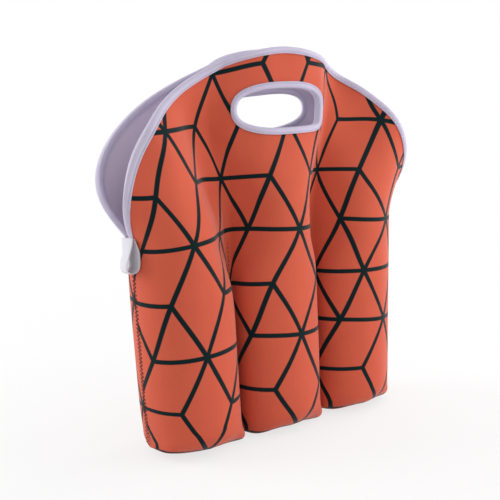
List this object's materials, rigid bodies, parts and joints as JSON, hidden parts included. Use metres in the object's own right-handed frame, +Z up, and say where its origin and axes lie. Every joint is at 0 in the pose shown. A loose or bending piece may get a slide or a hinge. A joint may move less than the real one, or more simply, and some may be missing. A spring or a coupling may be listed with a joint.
{
  "type": "beer carrier bag",
  "caption": "Soft padded bottle carrier with round upright tubes in one row, open at the top under two curved flaps that each have an oval hand slot; edges bound in tape, small label at a side.",
  "frame": {"origin": "under the middle of the base, on the surface the bag stands on", "axes": "+Z up, +X along the row of tubes to the right as seen from the front, +Y from the front panel to the rear panel"},
  "size_m": [0.2718, 0.0764, 0.3052],
  "materials": {
    "print": "matt printed jersey on neoprene foam",
    "lining": "matt knitted jersey",
    "binding": "folded jersey tape with a slight sheen",
    "thread": "sewing thread",
    "label": "woven ribbon"
  },
  "bodies": {
    "pouch": {"front_pocket_panel": "print", "front_pocket_lining": "lining", "front_fold_band": "print", "front_fold_lining": "lining", "front_right_fold_binding": "binding", "front_left_fold_binding": "binding", "rear_pocket_panel": "print", "rear_pocket_lining": "lining", "rear_fold_band": "print", "rear_fold_lining": "lining", "rear_right_fold_binding": "binding", "rear_left_fold_binding": "binding", "right_side_seam": "thread", "left_side_seam": "thread", "right_column_seam": "thread", "left_column_seam": "thread"},
    "front_handle": {"front_handle_panel": "print", "front_handle_lining": "lining", "front_edge_binding": "binding", "front_grip_binding": "binding"},
    "rear_handle": {"rear_handle_panel": "print", "rear_handle_lining": "lining", "rear_edge_binding": "binding", "rear_grip_binding": "binding"},
    "label": {"side_label": "label"}
  },
  "joints": [
    {"name": "front_handle_fold", "type": "hinge", "parent": "pouch", "child": "front_handle", "pos_m": [0, -0.02, 0.176], "axis": [1, 0, 0], "range_deg": [0, 45], "stiffness_Nm_per_rad": 0.2, "deforming": ["front_fold_band", "front_fold_lining", "front_right_fold_binding", "front_left_fold_binding"]},
    {"name": "rear_handle_fold", "type": "hinge", "parent": "pouch", "child": "rear_handle", "pos_m": [0, 0.02, 0.176], "axis": [-1, 0, 0], "range_deg": [0, 45], "stiffness_Nm_per_rad": 0.2, "deforming": ["rear_fold_band", "rear_fold_lining", "rear_right_fold_binding", "rear_left_fold_binding"]},
    {"name": "label_swing", "type": "hinge", "parent": "pouch", "child": "label", "pos_m": [-0.12473, -0.003, 0.168], "axis": [-0.4226, 0.9063, 0], "range_deg": [0, 90]}
  ]
}
